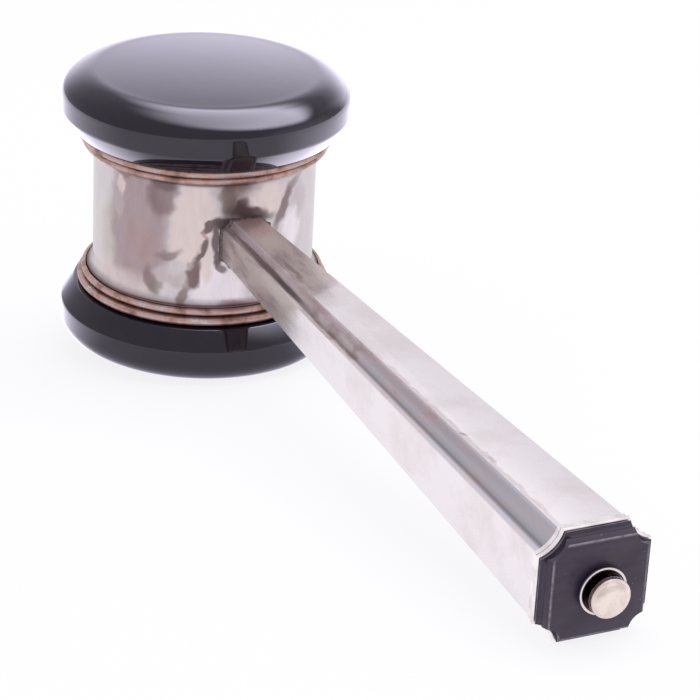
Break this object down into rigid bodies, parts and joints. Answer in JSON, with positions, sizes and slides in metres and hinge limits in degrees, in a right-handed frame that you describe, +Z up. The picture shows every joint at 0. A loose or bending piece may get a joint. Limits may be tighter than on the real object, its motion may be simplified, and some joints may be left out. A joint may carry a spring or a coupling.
{
  "type": "auction gavel",
  "caption": "Presentation gavel: silver drum head with black striking discs, a tapered fluted silver handle, a notched black end block and a button finial that unscrews.",
  "frame": {"origin": "middle of the bottom of the box round the gavel as it lies, tipped on its lower disc and its handle's end", "axes": "+X towards the handle's free end, +Y across the handle, +Z up from the surface that the gavel lies on"},
  "size_m": [0.218, 0.0628, 0.0673],
  "materials": {
    "silver": "polished silver with fine handling marks",
    "tarnished_silver": "silver with cloudy brown tarnish",
    "polished_black": "ebonised hardwood under a high polish",
    "satin_black": "ebonised hardwood with a satin, slightly dusty surface",
    "hardwood": "plain turned hardwood",
    "steel": "plain machined steel"
  },
  "bodies": {
    "root": {"upper_striking_disc": "polished_black", "lower_striking_disc": "polished_black", "upper_disc_dowel": "hardwood", "lower_disc_dowel": "hardwood", "upper_bead_ring": "tarnished_silver", "lower_bead_ring": "tarnished_silver", "upper_lip_ring": "silver", "lower_lip_ring": "silver", "drum_sleeve": "tarnished_silver", "head_core": "hardwood", "barrel_nut": "steel", "handle_tube": "silver", "handle_core": "hardwood", "tie_rod": "steel", "rod_coupling": "steel", "end_flange": "silver", "end_block": "satin_black", "left_alignment_pin": "steel", "right_alignment_pin": "steel"},
    "cup_washer": {"finial_cup": "silver"},
    "end_screw": {"finial_screw": "silver"}
  },
  "joints": [
    {"name": "finial_travel", "type": "slide", "parent": "root", "child": "cup_washer", "axis": [0.9916, 0, -0.1291], "range_m": [0, 0.0042]},
    {"name": "finial_turn", "type": "hinge", "parent": "cup_washer", "child": "end_screw", "pos_m": [0.10395, 0, 0.01042], "axis": [0.9916, 0, -0.1291], "range_deg": [0, 2160]}
  ],
  "couplings": [
    {"joint": "finial_turn", "follows": "finial_travel", "rad_per_m": 8975.9}
  ]
}
